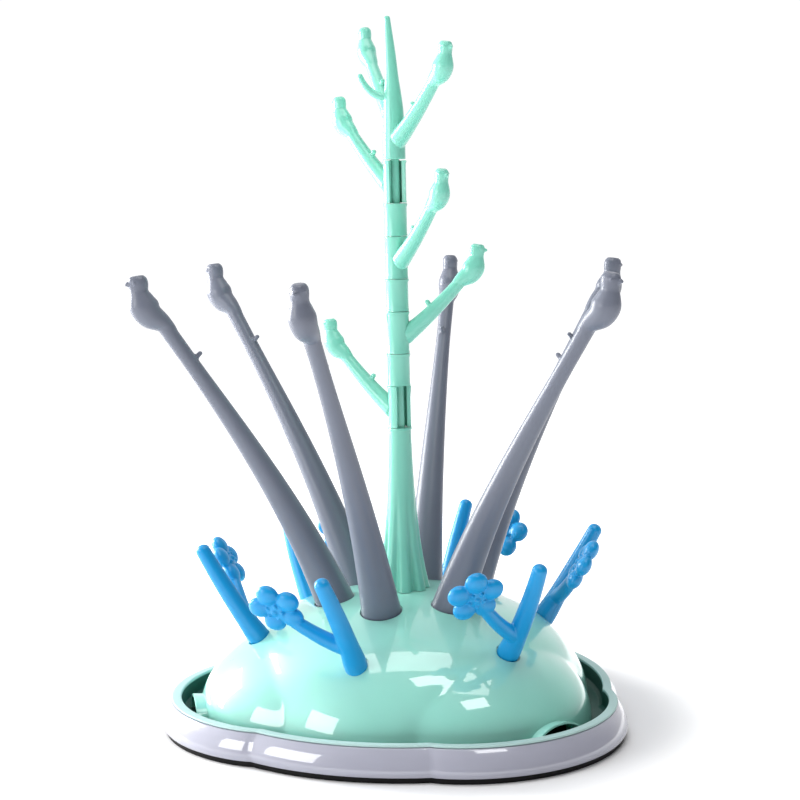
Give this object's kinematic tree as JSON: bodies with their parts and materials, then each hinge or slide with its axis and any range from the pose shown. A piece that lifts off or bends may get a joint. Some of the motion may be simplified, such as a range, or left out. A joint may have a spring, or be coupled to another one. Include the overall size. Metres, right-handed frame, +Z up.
{
  "type": "bottle drying rack",
  "caption": "Tree-shaped baby bottle drying rack: lobed drip tray, domed drainer, bird-tipped bottle poles, flower twigs and a trunk with clip-on bird branches.",
  "frame": {"origin": "on the floor, on the axis of the trunk", "axes": "+Z up along the trunk, -Y through the middle of one small lobe of the tray"},
  "size_m": [0.2811, 0.3026, 0.3955],
  "materials": {
    "gloss_mint": "glossy moulded polypropylene, mint green",
    "gloss_pale_grey": "glossy moulded plastic, pale grey",
    "gloss_grey": "glossy moulded plastic, mid grey",
    "gloss_blue": "glossy moulded plastic, sky blue",
    "rubber_black": "matt black rubber"
  },
  "bodies": {
    "tray": {"foot_ring": "rubber_black", "tray_shell": "gloss_pale_grey"},
    "basin": {"drip_basin": "gloss_mint"},
    "dome": {"drainer_dome": "gloss_mint"},
    "trunk": {"trunk": "gloss_mint"},
    "tree_top": {"tree_top": "gloss_mint"},
    "bird_pole_1": {"bird_pole_1": "gloss_grey"},
    "bird_pole_2": {"bird_pole_2": "gloss_grey"},
    "bird_pole_3": {"bird_pole_3": "gloss_grey"},
    "bird_pole_4": {"bird_pole_4": "gloss_grey"},
    "bird_pole_5": {"bird_pole_5": "gloss_grey"},
    "bird_pole_6": {"bird_pole_6": "gloss_grey"},
    "flower_twig_1": {"flower_twig_1": "gloss_blue"},
    "flower_twig_2": {"flower_twig_2": "gloss_blue"},
    "flower_twig_3": {"flower_twig_3": "gloss_blue"},
    "flower_twig_4": {"flower_twig_4": "gloss_blue"},
    "flower_twig_5": {"flower_twig_5": "gloss_blue"},
    "flower_twig_6": {"flower_twig_6": "gloss_blue"},
    "bird_branch_1": {"bird_branch_1": "gloss_mint"},
    "bird_branch_2": {"bird_branch_2": "gloss_mint"},
    "bird_branch_3": {"bird_branch_3": "gloss_mint"},
    "bird_branch_4": {"bird_branch_4": "gloss_mint"}
  },
  "joints": [
    {"name": "basin_lift", "type": "slide", "parent": "tray", "child": "basin", "axis": [0, 0, 1], "range_m": [0, 0.03]},
    {"name": "dome_lift", "type": "slide", "parent": "basin", "child": "dome", "axis": [0, 0, 1], "range_m": [0, 0.06]},
    {"name": "trunk_pull", "type": "slide", "parent": "dome", "child": "trunk", "axis": [0, 0, 1], "range_m": [0, 0.022]},
    {"name": "tree_top_pull", "type": "slide", "parent": "trunk", "child": "tree_top", "axis": [0, 0, 1], "range_m": [0, 0.014]},
    {"name": "pole_1_pull", "type": "slide", "parent": "dome", "child": "bird_pole_1", "axis": [0, 0, 1], "range_m": [0, 0.02]},
    {"name": "pole_2_pull", "type": "slide", "parent": "dome", "child": "bird_pole_2", "axis": [0, 0, 1], "range_m": [0, 0.02]},
    {"name": "pole_3_pull", "type": "slide", "parent": "dome", "child": "bird_pole_3", "axis": [0, 0, 1], "range_m": [0, 0.02]},
    {"name": "pole_4_pull", "type": "slide", "parent": "dome", "child": "bird_pole_4", "axis": [0, 0, 1], "range_m": [0, 0.02]},
    {"name": "pole_5_pull", "type": "slide", "parent": "dome", "child": "bird_pole_5", "axis": [0, 0, 1], "range_m": [0, 0.02]},
    {"name": "pole_6_pull", "type": "slide", "parent": "dome", "child": "bird_pole_6", "axis": [0, 0, 1], "range_m": [0, 0.02]},
    {"name": "twig_1_pull", "type": "slide", "parent": "dome", "child": "flower_twig_1", "axis": [0, -0.5736, 0.8192], "range_m": [0, 0.014]},
    {"name": "twig_2_pull", "type": "slide", "parent": "dome", "child": "flower_twig_2", "axis": [0.4967, -0.2868, 0.8192], "range_m": [0, 0.014]},
    {"name": "twig_3_pull", "type": "slide", "parent": "dome", "child": "flower_twig_3", "axis": [0.4967, 0.2868, 0.8192], "range_m": [0, 0.014]},
    {"name": "twig_4_pull", "type": "slide", "parent": "dome", "child": "flower_twig_4", "axis": [0, 0.5736, 0.8192], "range_m": [0, 0.014]},
    {"name": "twig_5_pull", "type": "slide", "parent": "dome", "child": "flower_twig_5", "axis": [-0.4967, 0.2868, 0.8192], "range_m": [0, 0.014]},
    {"name": "twig_6_pull", "type": "slide", "parent": "dome", "child": "flower_twig_6", "axis": [-0.4967, -0.2868, 0.8192], "range_m": [0, 0.014]},
    {"name": "branch_1_turn", "type": "hinge", "parent": "trunk", "child": "bird_branch_1", "pos_m": [0, 0, 0.1786], "axis": [0, 0, 1], "continuous": true},
    {"name": "branch_2_turn", "type": "hinge", "parent": "trunk", "child": "bird_branch_2", "pos_m": [0, 0, 0.2206], "axis": [0, 0, 1], "continuous": true},
    {"name": "branch_3_turn", "type": "hinge", "parent": "trunk", "child": "bird_branch_3", "pos_m": [0, 0, 0.2626], "axis": [0, 0, 1], "continuous": true},
    {"name": "branch_4_turn", "type": "hinge", "parent": "trunk", "child": "bird_branch_4", "pos_m": [0, 0, 0.3046], "axis": [0, 0, 1], "continuous": true}
  ]
}
